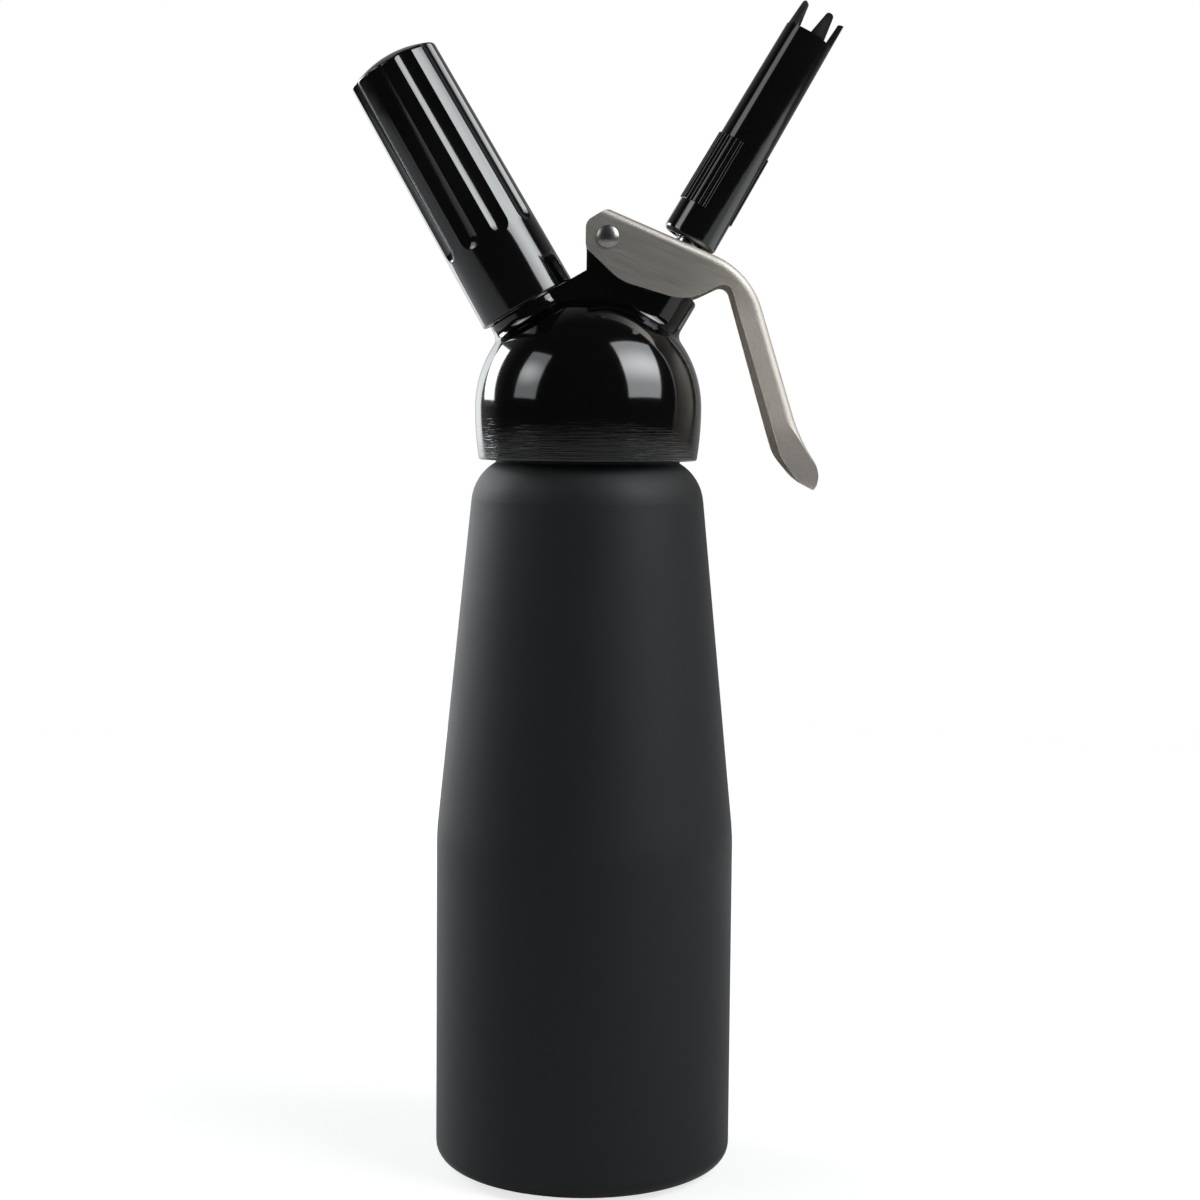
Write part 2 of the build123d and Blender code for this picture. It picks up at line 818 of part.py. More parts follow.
def biarc(start, start_heading, end, end_heading):
    """Two arcs that meet in a common tangent and leave and arrive along given directions."""
    chord = end - start
    both = start_heading + end_heading
    square = 2 * start_heading.dot(end_heading) - 2
    half = chord.dot(both)
    reach = (half - sqrt(half**2 - square * chord.dot(chord))) / square
    first = start + start_heading * reach
    second = end - end_heading * reach
    middle = (first + second) * 0.5
    TangentArc(start, middle, tangent=start_heading)
    TangentArc(middle, end, tangent=second - first)


with BuildPart() as valve_spring:
    with BuildLine():
        for quarter in range(4 * coil_turns):
            now = quarter / 4
            then = (quarter + 1) / 4
            biarc(coil_point(now), coil_heading(now), coil_point(then), coil_heading(then))
    with BuildSketch(Plane(coil_point(0), z_dir=coil_heading(0))):
        Circle(coil_wire / 2)
    sweep()
valve_spring.part.label = "valve_spring"
export_step(valve_spring.part, "parts/valve_spring.step")

samples = 48
coil_points = [coil_point(step / samples) for step in range(samples * coil_turns + 1)]
coil_gap = min(
    (coil_points[later] - coil_points[earlier]).length
    for earlier in range(len(coil_points))
    for later in range(earlier + samples // 2, len(coil_points))
)
print(f"least gap between the spring's turns {coil_gap - coil_wire:.3f} mm")

# Lever: pressed channel with a web on top, two cheeks and a flared, closed finger end
channel_half = valve_boss_radius + cheek_gap
lever_half = channel_half + sheet
web_angle = radians(web_slope)
handle_angle = radians(handle_slope)


def lever_spine(inset):
    """Side line of the lever's outer face from heel to tip, moved inwards by an inset."""
    lift = web_lift - inset
    back = -web_overhang
    start = (
        pivot_x + lift * sin(web_angle) + back * cos(web_angle),
        pivot_z + lift * cos(web_angle) - back * sin(web_angle),
    )
    web = PolarLine(start, web_length, angle=-web_slope)
    bend = JernArc(web @ 1, web % 1, bend_radius - inset, web_slope - handle_slope)
    grip = PolarLine(bend @ 1, handle_length, angle=-handle_slope)
    flare = JernArc(grip @ 1, grip % 1, flare_radius + inset, flare_turn)
    tip = JernArc(flare @ 1, flare % 1, tip_radius - inset, -tip_turn)
    return web, bend, tip


def cheek_edge(web, bend, tip):
    """Free edge of a cheek, from the tip round the belly and the heel back to the web's end."""
    corner = bend @ 1
    along = Vector(cos(handle_angle), -sin(handle_angle))
    inwards = Vector(-sin(handle_angle), -cos(handle_angle))
    flank = corner + inwards * cheek_depth
    tip_slope = radians(tip_edge_slope)
    spoon = (tip @ 1) + Vector(-cos(tip_slope), sin(tip_slope)) * tip_edge_length
    FilletPolyline(
        tip @ 1,
        spoon,
        flank + along * (handle_length + spoon_delay),
        flank - along * armpit_rise,
        (pivot_x + belly_reach, pivot_z - belly_drop),
        (pivot_x + corner_reach, pivot_z - corner_drop),
        (pivot_x - heel_reach, pivot_z - heel_drop),
        (pivot_x - heel_reach, pivot_z + heel_rise),
        web @ 0,
        radius=[spoon_blend, spoon_blend, armpit_blend, belly_blend, corner_blend, heel_blend, heel_blend],
    )


with BuildLine(Plane.XZ) as spine:
    lever_web, lever_bend, lever_tip = lever_spine(0)
bend_z = (lever_bend @ 1).Z
tip_z = (lever_tip @ 1).Z
spread = radians(spread_angle)


def lever_front(inset, low):
    """Outline of the lever from the front, moved inwards by an inset, with its round end down to low."""
    narrow = lever_half - inset
    tip_half = (lever_half * cos(spread) + (bend_z - low) * sin(spread)) / (1 + sin(spread))
    across = (tip_half - inset) * cos(spread)
    level = low + tip_half + (tip_half - inset) * sin(spread)
    for side in (-1, 1):
        FilletPolyline(
            (side * across, level),
            (side * narrow, bend_z),
            (side * narrow, 2 * pivot_z),
            radius=spread_blend,
        )
    Line((-narrow, 2 * pivot_z), (narrow, 2 * pivot_z))
    ThreePointArc((-across, level), (0, low + inset), (across, level))


with BuildPart() as channel:
    with BuildSketch(Plane.XZ):
        with BuildLine():
            inner_web, _, inner_tip = lever_spine(sheet)
            hollow = inner_tip @ 1
            Polyline(
                hollow,
                (hollow.X, 0),
                (-bottle_radius, 0),
                (-bottle_radius, 2 * pivot_z),
                ((lever_web @ 0).X, 2 * pivot_z),
                ((lever_web @ 0).X, (lever_web @ 0).Z),
                inner_web @ 0,
            )
        make_face()
    extrude(amount=bottle_radius, both=True)
    with BuildSketch(Plane.YZ):
        with BuildLine():
            lever_front(sheet, tip_z)
        make_face()
    extrude(amount=2 * bottle_radius, both=True, mode=Mode.INTERSECT)


def slot_place(slope):
    """Distance along the web from the pivot's foot to the valve axis."""
    middle = web_lift - sheet / 2
    return (middle * sin(slope) - pivot_across) / cos(slope)


slot_run = slot_place(rest_slope) - slot_place(pressed_slope)
slot_middle = (slot_place(rest_slope) + slot_place(pressed_slope)) / 2
slot_width = 2 * (stem_thread_radius + slip_gap)
slot_length = slot_width + slot_run + sheet * tan(rest_slope)
web_along = Vector(cos(web_angle), 0, -sin(web_angle))
web_normal = Vector(sin(web_angle), 0, cos(web_angle))
pivot = Vector(pivot_x, 0, pivot_z)
slot_plane = Plane(pivot + web_normal * web_lift + web_along * slot_middle, web_along, web_normal)


def on_spine(edge):
    """Whether an edge of the lever runs along its outer line above the tip, seen from the side."""
    middle = edge @ 0.5
    beside = spine.line.distance_to(Vertex(middle.X, 0, middle.Z))
    return beside < match and middle.Z > tip_z + match


with BuildPart() as lever:
    with BuildSketch(Plane.XZ):
        with BuildLine():
            cheek_edge(*lever_spine(0))
        make_face()
    extrude(amount=bottle_radius, both=True)
    with BuildSketch(Plane.YZ):
        with BuildLine():
            lever_front(0, tip_z - tip_trim)
        make_face()
    extrude(amount=2 * bottle_radius, both=True, mode=Mode.INTERSECT)
    fillet(lever.edges().filter_by(on_spine), sheet_round)
    with BuildSketch(Plane.YZ):
        with BuildLine():
            lever_front(0, tip_z)
        make_face()
    extrude(amount=2 * bottle_radius, both=True, mode=Mode.INTERSECT)
    add(channel.part, mode=Mode.SUBTRACT)
    with BuildSketch(slot_plane):
        SlotOverall(slot_length, slot_width)
    extrude(amount=-2 * sheet, mode=Mode.SUBTRACT)
    with BuildSketch(Plane.XZ):
        with Locations((pivot_x, pivot_z)):
            Circle(pin_radius + fit_gap)
    extrude(amount=2 * lever_half, both=True, mode=Mode.SUBTRACT)
lever.part.label = "lever"
export_step(lever.part, "parts/lever.step")

# Lever pin with a domed head, and the cap on its far end
pin_section = Plane(pivot, x_dir=(1, 0, 0), z_dir=(0, 0, 1))
pin_axis = Axis(pivot, (0, 1, 0))


def pin_dome(face, way):
    """Half outline of a round head that stands on a face of the lever, facing one way."""
    edge = face + way * pin_head_edge
    TangentArc((0, face + way * pin_head_height), (pin_head_radius, edge), tangent=(1, 0))
    Line((pin_head_radius, edge), (pin_head_radius, face))


with BuildPart() as lever_pin:
    with BuildSketch(pin_section):
        with BuildLine():
            pin_dome(-lever_half, -1)
            Polyline(
                (pin_head_radius, -lever_half),
                (pin_radius, -lever_half),
                (pin_radius, lever_half),
                (pin_tenon_radius, lever_half),
                (pin_tenon_radius, lever_half + pin_tenon_length),
                (0, lever_half + pin_tenon_length),
                (0, -lever_half - pin_head_height),
            )
        make_face()
    revolve(axis=pin_axis)
lever_pin.part.label = "lever_pin"
export_step(lever_pin.part, "parts/lever_pin.step")

with BuildPart() as pin_cap:
    with BuildSketch(pin_section):
        with BuildLine():
            pin_dome(lever_half, 1)
            Polyline(
                (pin_head_radius, lever_half),
                (pin_tenon_radius + fit_gap, lever_half),
                (pin_tenon_radius + fit_gap, lever_half + pin_tenon_length + fit_gap),
                (0, lever_half + pin_tenon_length + fit_gap),
                (0, lever_half + pin_head_height),
            )
        make_face()
    revolve(axis=pin_axis)
pin_cap.part.label = "pin_cap"
export_step(pin_cap.part, "parts/pin_cap.step")

# Nozzle: tapered tube with a threaded socket, two ribbed grips and a crown of teeth
nozzle_rim = nozzle_base + nozzle_length
nozzle_tip = nozzle_rim + tooth_length
nozzle_taper = (nozzle_base_radius - nozzle_rim_radius) / nozzle_length
nozzle_tip_radius = nozzle_rim_radius - nozzle_taper * tooth_length
nozzle_bore = stem_thread_radius + stem_thread_gap
seal_seat = stem_top + seat_gap
nozzle_shoulder = seal_seat + nozzle_seal_thickness
recess_floor = nozzle_base + nozzle_recess_depth
tooth_pitch = 360 / tooth_count
gap_root = nozzle_rim_radius * sin(radians(tooth_pitch - tooth_angle) / 2)
gap_top = nozzle_rim_radius * sin(radians(tooth_pitch - tooth_tip_angle) / 2)
tooth_middle = nozzle_rim_radius * sin(radians(tooth_pitch) / 2)
rib_low = nozzle_base + grip_start
rib_place = nozzle_base_radius - nozzle_taper * grip_start - rib_sink
rib_span = rib_step * (rib_count - 1)
nozzle_thread = thread(
    nozzle_bore,
    nozzle_bore - stem_thread_depth,
    stem_pitch,
    nozzle_thread_turns,
    stem_thread_low + stem_pitch * nozzle_thread_delay,
    stem_thread_root,
    stem_thread_crest,
)

with BuildPart() as nozzle_seal:
    add(flat_ring(station(valve_section, seal_seat), stem_bore, stem_core, nozzle_seal_thickness))
nozzle_seal.part.label = "nozzle_seal"
export_step(nozzle_seal.part, "parts/nozzle_seal.step")

with BuildPart() as tooth_gap:
    with BuildSketch(Plane.YZ):
        with BuildLine():
            Line((-gap_root, nozzle_rim), (gap_root, nozzle_rim))
            for side in (-1, 1):
                FilletPolyline(
                    (side * gap_root, nozzle_rim),
                    (side * gap_top, nozzle_tip),
                    (side * tooth_middle, nozzle_tip),
                    radius=tooth_round,
                )
                Line((side * tooth_middle, nozzle_tip), (side * tooth_middle, nozzle_tip + tooth_round))
            Line((-tooth_middle, nozzle_tip + tooth_round), (tooth_middle, nozzle_tip + tooth_round))
        make_face()
    extrude(amount=2 * nozzle_rim_radius)

with BuildPart(station(valve_section, 0)) as nozzle:
    with BuildSketch(valve_section):
        with BuildLine():
            FilletPolyline(
                (nozzle_recess_radius, nozzle_base),
                (nozzle_base_radius, nozzle_base),
                (nozzle_tip_radius, nozzle_tip),
                radius=nozzle_round,
            )
            Polyline(
                (nozzle_tip_radius, nozzle_tip),
                (nozzle_tip_radius - nozzle_wall, nozzle_tip),
                (stem_bore, nozzle_shoulder),
                (nozzle_bore, nozzle_shoulder),
                (nozzle_bore, recess_floor),
                (nozzle_recess_radius, recess_floor),
                (nozzle_recess_radius, nozzle_base),
            )
        make_face()
    revolve(axis=valve_axis)
    with PolarLocations(0, tooth_count, start_angle=tooth_pitch / 2):
        add(tooth_gap.part, mode=Mode.SUBTRACT)
    with Locations((0, 0, rib_low)):
        for middle in (grip_angle, grip_angle + 180):
            with PolarLocations(rib_place, rib_count, middle - rib_span / 2, rib_span, endpoint=True):
                Cylinder(
                    rib_radius,
                    grip_length,
                    rotation=(0, -nozzle_taper * 180 / pi, 0),
                    align=(Align.CENTER, Align.CENTER, Align.MIN),
                )
    add(nozzle_thread)
nozzle.part.label = "nozzle"
export_step(nozzle.part, "parts/nozzle.step")
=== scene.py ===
"""Looks of the cream whipper: finishes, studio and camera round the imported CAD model.

Metres, in the CAD model's frame: the origin is the centre of the bottle's foot, +Z is up,
+X points to the lever and the nozzle, and the camera stands on the -Y side.
"""

from __future__ import annotations

import logging
from dataclasses import dataclass, field
from enum import Enum
from math import cos, radians, sin
from typing import Any

import bpy
import numpy as np
from mathutils import Matrix, Vector

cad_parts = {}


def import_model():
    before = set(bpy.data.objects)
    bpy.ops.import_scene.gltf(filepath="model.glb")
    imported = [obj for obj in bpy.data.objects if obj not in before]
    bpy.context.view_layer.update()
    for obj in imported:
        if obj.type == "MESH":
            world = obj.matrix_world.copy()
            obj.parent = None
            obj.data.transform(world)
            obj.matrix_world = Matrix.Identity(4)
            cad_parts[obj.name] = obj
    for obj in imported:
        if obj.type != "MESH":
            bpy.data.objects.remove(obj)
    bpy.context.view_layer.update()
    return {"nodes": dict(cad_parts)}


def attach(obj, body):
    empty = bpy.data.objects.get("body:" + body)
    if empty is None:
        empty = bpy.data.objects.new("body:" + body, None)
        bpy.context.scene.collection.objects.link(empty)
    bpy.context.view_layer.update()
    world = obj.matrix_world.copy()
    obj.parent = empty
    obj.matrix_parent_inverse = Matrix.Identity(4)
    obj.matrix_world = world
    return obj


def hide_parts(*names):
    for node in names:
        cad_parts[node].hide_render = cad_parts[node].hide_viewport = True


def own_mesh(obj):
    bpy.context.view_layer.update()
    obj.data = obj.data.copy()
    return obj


LOG = logging.getLogger("cream_whipper")

Colour = tuple[float, float, float]
Point = tuple[float, float, float]
Span = tuple[float, float]
Node = bpy.types.Node
Socket = bpy.types.NodeSocket

# Directions of the two branches, 30.1 degrees from the bottle's axis
BRANCH_ANGLE = radians(30.1)
HUB: Point = (0.0, 0.0, 0.2054)
VALVE_WAY: Point = (sin(BRANCH_ANGLE), 0.0, cos(BRANCH_ANGLE))
CHARGER_WAY: Point = (-sin(BRANCH_ANGLE), 0.0, cos(BRANCH_ANGLE))


class Slot(Enum):
    """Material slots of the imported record."""

    BOTTLE = "matt_black"
    HEAD = "gloss_black"
    HOLDER = "holder_black"
    NOZZLE = "nozzle_black"
    LEVER = "lever_steel"
    PIN = "pin_steel"
    STEM = "stem_steel"
    FITTINGS = "turned_steel"
    STUD = "stud_steel"
    CHARGER = "charger_steel"
    BUSH = "bush_white"
    SEAL = "seal_rubber"
    GASKET = "gasket_rubber"


class Weaver:
    """Adds nodes and links to one shader node tree."""

    def __init__(self, tree: bpy.types.NodeTree) -> None:
        """Keep the tree that the nodes go into."""
        self.tree = tree

    def put(self, target: Socket, value: Any) -> None:
        """Link a socket to an input, or set the input's own value.

        Args:
            target: Input socket.
            value: Output socket to link, or a plain value.
        """
        if isinstance(value, Socket):
            self.tree.links.new(value, target)
        elif target.type == "RGBA" and len(value) == 3:
            target.default_value = (*value, 1.0)
        else:
            target.default_value = value

    def add(self, kind: str, setting: dict[str, Any] | None = None, **inputs: Any) -> Node:
        """Add a node.

        Args:
            kind: Node type.
            setting: Properties of the node itself.
            inputs: Input values by socket name, with underscores for spaces.

        Returns:
            The new node.
        """
        node = self.tree.nodes.new(kind)
        for name, value in (setting or {}).items():
            setattr(node, name, value)
        for name, value in inputs.items():
            self.put(node.inputs[name.replace("_", " ")], value)
        return node

    def group(self, tree: bpy.types.NodeTree, **inputs: Any) -> Node:
        """Place a node group, with its inputs as in add()."""
        return self.add("ShaderNodeGroup", {"node_tree": tree}, **inputs)

    def maths(self, operation: str, *values: Any) -> Socket:
        """Add a Math node.

        Args:
            operation: Name of the operation.
            values: Its operands, as sockets or numbers.

        Returns:
            The result.
        """
        node = self.add("ShaderNodeMath", {"operation": operation})
        for target, value in zip(node.inputs, values):
            self.put(target, value)
        return node.outputs[0]

    def remap(self, value: Any, low: float, high: float, at_low: float, at_high: float) -> Socket:
        """Carry a value from one range to another with a smooth start and end.

        Args:
            value: Value to carry over.
            low: Start of its range.
            high: End of its range.
            at_low: Result at the start.
            at_high: Result at the end.

        Returns:
            The result, held at the ends.
        """
        node = self.add("ShaderNodeMapRange", {"interpolation_type": "SMOOTHSTEP"})
        for target, number in zip(node.inputs, (value, low, high, at_low, at_high)):
            self.put(target, number)
        return node.outputs[0]

    def mix(self, factor: Any, first: Any, second: Any) -> Socket:
        """Blend two colours.

        Args:
            factor: Share of the second colour.
            first: First colour.
            second: Second colour.

        Returns:
            The blended colour.
        """
        # A Mix node lists the sockets of every data type, the colours as 6 and 7 and the result as 2
        node = self.add("ShaderNodeMix", {"data_type": "RGBA"})
        for number, value in ((0, factor), (6, first), (7, second)):
            self.put(node.inputs[number], value)
        return node.outputs[2]

    def along(self, vector: Socket, way: Point, start: Point) -> Socket:
        """Measure how far a point lies along a direction.

        Args:
            vector: Place of the point.
            way: Unit direction.
            start: Point where the count starts.

        Returns:
            The distance.
        """
        moved = self.add("ShaderNodeVectorMath", {"operation": "SUBTRACT"})
        self.put(moved.inputs[0], vector)
        self.put(moved.inputs[1], start)
        dot = self.add("ShaderNodeVectorMath", {"operation": "DOT_PRODUCT"})
        self.put(dot.inputs[0], moved.outputs[0])
        self.put(dot.inputs[1], way)
        return dot.outputs["Value"]

    def bump(self, height: Socket, depth: float, normal: Socket | None = None) -> Socket:
        """Turn a height into a normal.

        Args:
            height: Height from 0 to 1.
            depth: What a height of 1 stands for, in metres.
            normal: Normal to start from.

        Returns:
            The bumped normal.
        """
        node = self.add("ShaderNodeBump", Strength=1.0, Distance=depth, Height=height)
        if normal is not None:
            self.put(node.inputs["Normal"], normal)
        return node.outputs[0]


def ringed(name: str, grid: np.ndarray, closed: bool) -> bpy.types.Object:
    """Make an object from rings of points: quads between neighbouring rings and a face over an end.

    Args:
        name: Name of the object and its mesh.
        grid: Points by place on the ring, by ring and by coordinate.
        closed: Whether the last ring gets a face, as the first one does.

    Returns:
        The new object.
    """
    index = np.arange(grid.shape[0] * grid.shape[1]).reshape(grid.shape[:2])
    after = np.roll(index, -1, axis=0)
    quads = np.stack([index[:, :-1], index[:, 1:], after[:, 1:], after[:, :-1]], axis=-1).reshape(-1, 4)
    ends = [index[:, 0].tolist(), index[::-1, -1].tolist()]
    mesh = bpy.data.meshes.new(name)
    mesh.from_pydata(grid.reshape(-1, 3), [], [*quads.tolist(), *ends[: 1 + closed]])
    mesh.polygons.foreach_set("use_smooth", np.arange(len(mesh.polygons)) < len(quads))
    made = bpy.data.objects.new(name, mesh)
    bpy.context.scene.collection.objects.link(made)
    return made


@dataclass
class Effects:
    """Surface effects that several finishes share, each built once as a shader node group."""

    fine_detail: float = 3.0
    fine_range: Span = (0.3, 0.7)
    broad_scale: float = 0.23
    broad_detail: float = 2.0
    broad_range: Span = (0.32, 0.68)
    grain_scale: float = 2500.0
    grain_detail: float = 2.0
    ripple_scale: float = 120.0
    ripple_detail: float = 1.0
    handling_scale: float = 28.0
    handling_detail: float = 4.0
    handling_roughness: float = 0.6
    handling_range: Span = (0.35, 0.7)
    built: dict[str, bpy.types.NodeTree] = field(default_factory=dict)

    def _start(
        self, name: str, inputs: dict[str, Any], outputs: tuple[str, ...]
    ) -> tuple[Weaver, Node, Node]:
        """Open a new group.

        Args:
            name: Name of the group.
            inputs: Default values by input name; a tuple makes a vector socket.
            outputs: Names of the outputs.

        Returns:
            The group's weaver, input node and output node.
        """
        tree = bpy.data.node_groups.new(name, "ShaderNodeTree")
        for label, value in inputs.items():
            kind = "NodeSocketVector" if isinstance(value, tuple) else "NodeSocketFloat"
            made = tree.interface.new_socket(label, in_out="INPUT", socket_type=kind)
            made.default_value = value
        for label in outputs:
            tree.interface.new_socket(label, in_out="OUTPUT", socket_type="NodeSocketFloat")
        self.built[name] = tree
        weaver = Weaver(tree)
        return weaver, weaver.add("NodeGroupInput"), weaver.add("NodeGroupOutput")

    def streaks(self) -> bpy.types.NodeTree:
        """Two layers of noise on a drawn-out vector, for brushing and turning lines.

        Returns:
            The group, with the outputs Fine and Broad.
        """
        if "streaks" not in self.built:
            weaver, given, result = self._start("streaks", {"Vector": (0.0, 0.0, 0.0)}, ("Fine", "Broad"))
            place = given.outputs["Vector"]
            fine = weaver.add("ShaderNodeTexNoise", Vector=place, Scale=1.0, Detail=self.fine_detail)
            broad = weaver.add(
                "ShaderNodeTexNoise", Vector=place, Scale=self.broad_scale, Detail=self.broad_detail
            )
            weaver.put(result.inputs["Fine"], weaver.remap(fine.outputs[0], *self.fine_range, 0.0, 1.0))
            weaver.put(result.inputs["Broad"], weaver.remap(broad.outputs[0], *self.broad_range, 0.0, 1.0))
        return self.built["streaks"]

    def skin(self) -> bpy.types.NodeTree:
        """Fine grain, a slow ripple and patches of handling, for coats and mouldings.

        Returns:
            The group, with the outputs Grain, Ripple and Handling.
        """
        if "skin" not in self.built:
            sockets = {"Vector": (0.0, 0.0, 0.0), "Grain": self.grain_scale, "Ripple": self.ripple_scale}
            weaver, given, result = self._start("skin", sockets, ("Grain", "Ripple", "Handling"))
            place = given.outputs["Vector"]
            for layer, detail in (("Grain", self.grain_detail), ("Ripple", self.ripple_detail)):
                noise = weaver.add(
                    "ShaderNodeTexNoise", Vector=place, Scale=given.outputs[layer], Detail=detail
                )
                weaver.put(result.inputs[layer], noise.outputs[0])
            touch = weaver.add(
                "ShaderNodeTexNoise",
                Vector=place,
                Scale=self.handling_scale,
                Detail=self.handling_detail,
                Roughness=self.handling_roughness,
            )
            marks = weaver.remap(touch.outputs[0], *self.handling_range, 0.0, 1.0)
            weaver.put(result.inputs["Handling"], marks)
        return self.built["skin"]


@dataclass(frozen=True)
class Finish:
    """Base of the finishes: a name and a colour."""

    name: str
    colour: Colour

    def shade(self, share: float) -> Colour:
        """Give the colour times a number."""
        red, green, blue = self.colour
        return share * red, share * green, share * blue

    def open(self) -> tuple[bpy.types.Material, Weaver, Node, Socket]:
        """Start the material.

        Returns:
            The material, its weaver, its Principled BSDF and the Object coordinates.
        """
        material = bpy.data.materials.new(self.name)
        material.use_nodes = True
        material.diffuse_color = (*self.colour, 1.0)
        weaver = Weaver(material.node_tree)
        shader = material.node_tree.nodes["Principled BSDF"]
        place = weaver.add("ShaderNodeTexCoord").outputs["Object"]
        return material, weaver, shader, place

    def make(self, effects: Effects) -> bpy.types.Material:
        """Build the material.

        Args:
            effects: Shared node groups.

        Returns:
            The material.
        """
        raise NotImplementedError


@dataclass(frozen=True)
class MattCoat(Finish):
    """Soft matt lacquer with a fine grain and faint handling marks."""

    roughness: float = 0.64
    specular: float = 0.68
    sheen: float = 0.25
    sheen_roughness: float = 0.4
    mark_shade: float = 0.86
    mark_polish: float = 0.05
    grain_scale: float = 2600.0
    grain_depth: float = 0.000012

    def make(self, effects: Effects) -> bpy.types.Material:
        """Build the material: grain in the bump, marks in the colour and the roughness.

        Args:
            effects: Shared node groups.

        Returns:
            The material.
        """
        material, weaver, shader, place = self.open()
        skin = weaver.group(effects.skin(), Vector=place, Grain=self.grain_scale)
        marks = skin.outputs["Handling"]
        shader.inputs["Specular IOR Level"].default_value = self.specular
        shader.inputs["Sheen Weight"].default_value = self.sheen
        shader.inputs["Sheen Roughness"].default_value = self.sheen_roughness
        weaver.put(shader.inputs["Base Color"], weaver.mix(marks, self.colour, self.shade(self.mark_shade)))
        polished = self.roughness - self.mark_polish
        weaver.put(shader.inputs["Roughness"], weaver.remap(marks, 0.0, 1.0, self.roughness, polished))
        weaver.put(shader.inputs["Normal"], weaver.bump(skin.outputs["Grain"], self.grain_depth))
        return material


@dataclass(frozen=True)
class GlossCoat(Finish):
    """Gloss lacquer over turned metal, whose turning lines show low on the dome, tinted lighter there partly
    as painted sheen.
    """

    roughness: float = 0.07
    skirt_roughness: float = 0.27
    worn_roughness: float = 0.02
    specular: float = 0.86
    refraction: float = 1.6
    ripple_scale: float = 90.0
    ripple_depth: float = 0.00004
    line_top: float = 0.2085
    line_low: float = 0.1930
    line_spread: float = 0.007
    line_depth: float = 0.00004
    # Lighter tint of the turning lines: real lines whose lighter colour also paints sheen
    line_and_painted_sheen_shade: float = 2.2
    line_scale: Point = (70.0, 70.0, 3200.0)

    def make(self, effects: Effects) -> bpy.types.Material:
        """Build the material: rings round Z fade in downwards, their lighter tint partly painting sheen low
        on the dome, with a slow ripple all over.

        Args:
            effects: Shared node groups.

        Returns:
            The material.
        """
        material, weaver, shader, place = self.open()
        skin = weaver.group(effects.skin(), Vector=place, Ripple=self.ripple_scale)
        drawn = weaver.add(
            "ShaderNodeMapping", {"vector_type": "POINT"}, Vector=place, Scale=self.line_scale
        )
        rings = weaver.group(effects.streaks(), Vector=drawn.outputs[0])
        shader.inputs["Specular IOR Level"].default_value = self.specular
        shader.inputs["IOR"].default_value = self.refraction
        height = weaver.add("ShaderNodeSeparateXYZ", Vector=place).outputs["Z"]
        low = weaver.remap(height, self.line_low, self.line_top, 1.0, 0.0)
        # The turning lines are real; tinting them lighter in the colour also paints the sheen the lower dome
        # catches, a painted highlight
        lines = weaver.maths("MULTIPLY", rings.outputs["Fine"], low)
        weaver.put(shader.inputs["Base Color"], weaver.mix(lines, self.colour, self.shade(self.line_and_painted_sheen_shade)))
        uneven = weaver.maths("MULTIPLY_ADD", rings.outputs["Fine"], self.line_spread, height)
        satin = weaver.remap(uneven, self.line_low, self.line_top, self.skirt_roughness, self.roughness)
        worn = weaver.maths("MULTIPLY_ADD", skin.outputs["Handling"], self.worn_roughness, satin)
        weaver.put(shader.inputs["Roughness"], worn)
        rippled = weaver.bump(skin.outputs["Ripple"], self.ripple_depth)
        weaver.put(shader.inputs["Normal"], weaver.bump(lines, self.line_depth, rippled))
        return material


@dataclass(frozen=True)
class GlossMoulding(Finish):
    """Glossy moulded plastic, which turns satin past a distance along one branch.

    The distance's default lies past the end of every piece, so that the gloss goes all the way.
    """

    way: Point = VALVE_WAY
    roughness: float = 0.09
    worn_roughness: float = 0.03
    specular: float = 0.86
    refraction: float = 1.6
    satin: float = 0.4
    satin_from: float = 1.0
    satin_full: float = 1.1
    mark_shade: float = 1.8
    ripple_scale: float = 140.0
    ripple_depth: float = 0.00003

    def make(self, effects: Effects) -> bpy.types.Material:
        """Build the material: ripple in the bump, roughness by the distance along the branch.

        Args:
            effects: Shared node groups.

        Returns:
            The material.
        """
        material, weaver, shader, place = self.open()
        skin = weaver.group(effects.skin(), Vector=place, Ripple=self.ripple_scale)
        marks = skin.outputs["Handling"]
        shader.inputs["Specular IOR Level"].default_value = self.specular
        shader.inputs["IOR"].default_value = self.refraction
        weaver.put(shader.inputs["Base Color"], weaver.mix(marks, self.colour, self.shade(self.mark_shade)))
        distance = weaver.along(place, self.way, HUB)
        rough = weaver.remap(distance, self.satin_from, self.satin_full, self.roughness, self.satin)
        worn = weaver.maths("MULTIPLY_ADD", marks, self.worn_roughness, rough)
        weaver.put(shader.inputs["Roughness"], worn)
        weaver.put(shader.inputs["Normal"], weaver.bump(skin.outputs["Ripple"], self.ripple_depth))
        return material


